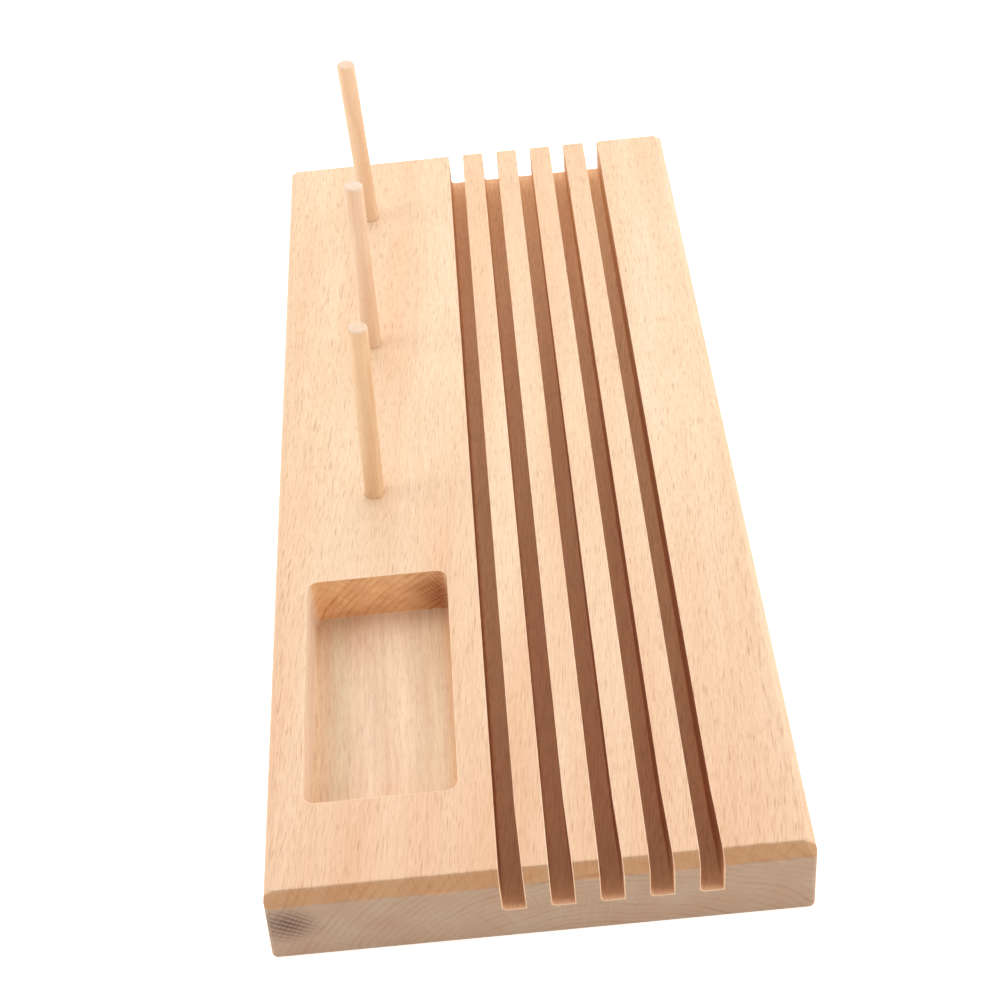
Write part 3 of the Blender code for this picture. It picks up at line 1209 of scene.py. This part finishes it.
@dataclass
class ThreadPin:
    """One dowel pin for a spool of thread, pushed into its blind hole."""

    node: str
    body: str
    joint: str
    colours: BeechColours
    seed: int
    slot: str = "pin_beech"
    radius: float = 2.995 * MM
    length: float = 75.95 * MM
    tip_round: float = 1.1 * MM
    foot_chamfer: float = 0.5 * MM
    axis: Vector = field(init=False)
    centre: Vector = field(init=False)

    def __post_init__(self) -> None:
        """Read the pin's place and lean from the frame."""
        joint = next(j for j in frame["joints"] if j["name"] == self.joint)
        self.axis = Vector(joint["axis"]).normalized()
        low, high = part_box(self.node)
        self.centre = (low + high) / 2

    @property
    def foot(self) -> float:
        """The foot's place along the pin's axis, from its middle."""
        return -self.length / 2

    def rod(self, radius: float, low: float, high: float) -> bmesh.types.BMesh:
        """Make a rod on the pin's axis.

        Args:
            radius: The rod's radius.
            low: Where it starts, along the axis from the pin's middle.
            high: Where it ends.

        Returns:
            A new bmesh, in the rack's frame.
        """
        mesh_data = bmesh.new()
        bmesh.ops.create_cone(mesh_data, cap_ends=True, segments=48, radius1=radius, radius2=radius,
                              depth=high - low, matrix=Matrix.Translation((0, 0, (low + high) / 2)))
        self.place(mesh_data)
        return mesh_data

    def place(self, mesh_data: bmesh.types.BMesh) -> None:
        """Stand an upright shape on the pin's axis.

        Args:
            mesh_data: The shape, centred on the origin.
        """
        lean = UP.rotation_difference(self.axis).to_matrix().to_4x4()
        bmesh.ops.transform(mesh_data, matrix=Matrix.Translation(self.centre) @ lean,
                            verts=mesh_data.verts)

    def build(self) -> bpy.types.Object:
        """Turn the dowel, dress it and seat it.

        Returns:
            The finished piece.
        """
        mesh_data = bmesh.new()
        bmesh.ops.create_cone(mesh_data, cap_ends=True, segments=64, radius1=self.radius,
                              radius2=self.radius, depth=self.length)
        half = self.length / 2
        tip = edges_where(mesh_data, lambda co: co.z > half - SLACK)
        round_over(mesh_data, tip, self.tip_round, 5)
        foot = edges_where(mesh_data, lambda co: co.z < -half + SLACK)
        round_over(mesh_data, foot, self.foot_chamfer, 1)
        self.place(mesh_data)
        piece = make_piece(self.node + "_finished", mesh_data, [self.finish().material()])
        settle_normals(piece)
        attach(piece, self.body)
        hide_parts(self.node)
        return piece

    def finish(self) -> SolidBeech:
        """Choose the dowel's cut of beech: straight grain, with the pith well to one side.

        It gives the eye a plain, even honey tone with faint lines along it and a pale tip.

        Returns:
            The dowel's finish.
        """
        draw = random.Random(self.seed)
        timber = Timber(centre=self.centre, fibre=self.axis, pith_across=draw.uniform(-30, 30),
                        pith_up=draw.uniform(35, 60), ring_width=1.6)
        return SolidBeech(name=self.node + "_beech_dowel", timber=timber, colours=self.colours,
                          fleck_width=0.3, fleck_length=3.5, fleck_strength=0.16,
                          fine_fleck_strength=0.08, streak_width=3.0, ray_depth=4.0, ray_on_end=0.05,
                          ring_on_face=0.15, ring_on_end=0.1, fibre_strength=0.1, pore_strength=0.06)


# The studio


@dataclass(frozen=True)
class SoftBox:
    """One square soft box that faces the rack: its place, its side in metres and its watts."""

    name: str
    place: Vector
    side: float
    power: float

    def hang(self) -> None:
        """Hang the soft box."""
        light = bpy.data.lights.new(self.name, "AREA")
        light.size = self.side
        light.energy = self.power
        lamp = bpy.data.objects.new(self.name, light)
        lamp.location = self.place
        lamp.rotation_euler = (-self.place).to_track_quat("-Z", "Y").to_euler()
        bpy.context.scene.collection.objects.link(lamp)


@dataclass
class Studio:
    """A pale table, soft lights and the camera, whose turn is in degrees."""

    floor_size: float = 8.0
    floor_gap: float = 0.2 * MM
    floor_colour: str = "#F7F7F6"
    floor_roughness: float = 0.8
    floor_glow: float = 0.6
    camera_place: Vector = Vector((6.4 * MM, -381.4 * MM, 399.55 * MM))
    camera_turn: Vector = Vector((43.488, 4.512, -3.526))
    lens: float = 61.0
    sky: float = 0.42
    soft_boxes: tuple[SoftBox, ...] = (
        SoftBox("overhead", Vector((0.04, 0.47, 0.82)), 0.9, 5.3),
        SoftBox("right", Vector((0.78, 0.05, 0.32)), 0.5, 1.9),
        SoftBox("left", Vector((-0.65, 0.05, 0.65)), 0.5, 2.1),
        SoftBox("front_right", Vector((0.72, -0.62, 0.38)), 0.4, 1.9),
        SoftBox("front_left", Vector((-0.62, -0.66, 0.38)), 0.4, 0.9))

    def floor(self) -> None:
        """Lay the pale table top just under the rack."""
        mesh_data = bmesh.new()
        bmesh.ops.create_grid(mesh_data, x_segments=1, y_segments=1, size=self.floor_size / 2)
        bmesh.ops.translate(mesh_data, vec=-UP * self.floor_gap, verts=mesh_data.verts)
        material = bpy.data.materials.new("pale_table")
        material.use_nodes = True
        shader = material.node_tree.nodes["Principled BSDF"]
        shader.inputs["Base Color"].default_value = linear(self.floor_colour)
        shader.inputs["Roughness"].default_value = self.floor_roughness
        shader.inputs["Emission Color"].default_value = WHITE
        shader.inputs["Emission Strength"].default_value = self.floor_glow
        make_piece("table_top", mesh_data, [material])

    def world(self) -> None:
        """Fill the room with even white light."""
        world = bpy.data.worlds.new("studio")
        world.use_nodes = True
        background = world.node_tree.nodes["Background"]
        background.inputs["Color"].default_value = WHITE
        background.inputs["Strength"].default_value = self.sky
        bpy.context.scene.world = world

    def camera(self) -> None:
        """Set the camera above the front edge, looking down the slots."""
        data = bpy.data.cameras.new("camera")
        data.lens = self.lens
        data.clip_start = 10 * MM
        camera = bpy.data.objects.new("camera", data)
        camera.location = self.camera_place
        camera.rotation_euler = Euler([radians(angle) for angle in self.camera_turn])
        bpy.context.scene.collection.objects.link(camera)
        bpy.context.scene.camera = camera

    def build(self) -> None:
        """Set the whole studio up."""
        self.floor()
        self.world()
        for soft_box in self.soft_boxes:
            soft_box.hang()
        self.camera()
        bpy.context.scene.view_settings.view_transform = "Standard"


def thread_pins() -> list[ThreadPin]:
    """List the three pins; each dowel is a little different in colour.

    Returns:
        The pins, from rear to front.
    """
    dowels = (("rear", BeechColours(straw="#F2DDC6", blush="#F0D3B8", side="#FFF3E2", end="#F8F2F0"), 3),
              ("middle", BeechColours(straw="#F3E3D0", blush="#EDD5BD", side="#FFEEDC", end="#FAF4F2"), 7),
              ("front", BeechColours(straw="#F1DEC8", blush="#E9CFB3", side="#FFECD2", end="#FDF6F2"), 11))
    return [ThreadPin("thread_pin_" + row, row + "_pin", row + "_pin_pull", colours, seed)
            for row, colours, seed in dowels]


def main() -> None:
    """Build the studio and the rack, and report each piece."""
    logging.basicConfig(level=logging.INFO, format="%(name)s: %(message)s")
    Studio().build()
    pins = thread_pins()
    block = RulerBlock().build(pins)
    LOG.info("%s: %d faces", block.name, len(block.data.polygons))
    for pin in pins:
        piece = pin.build()
        LOG.info("%s: %d faces", piece.name, len(piece.data.polygons))


if __name__ == "__main__":
    main()
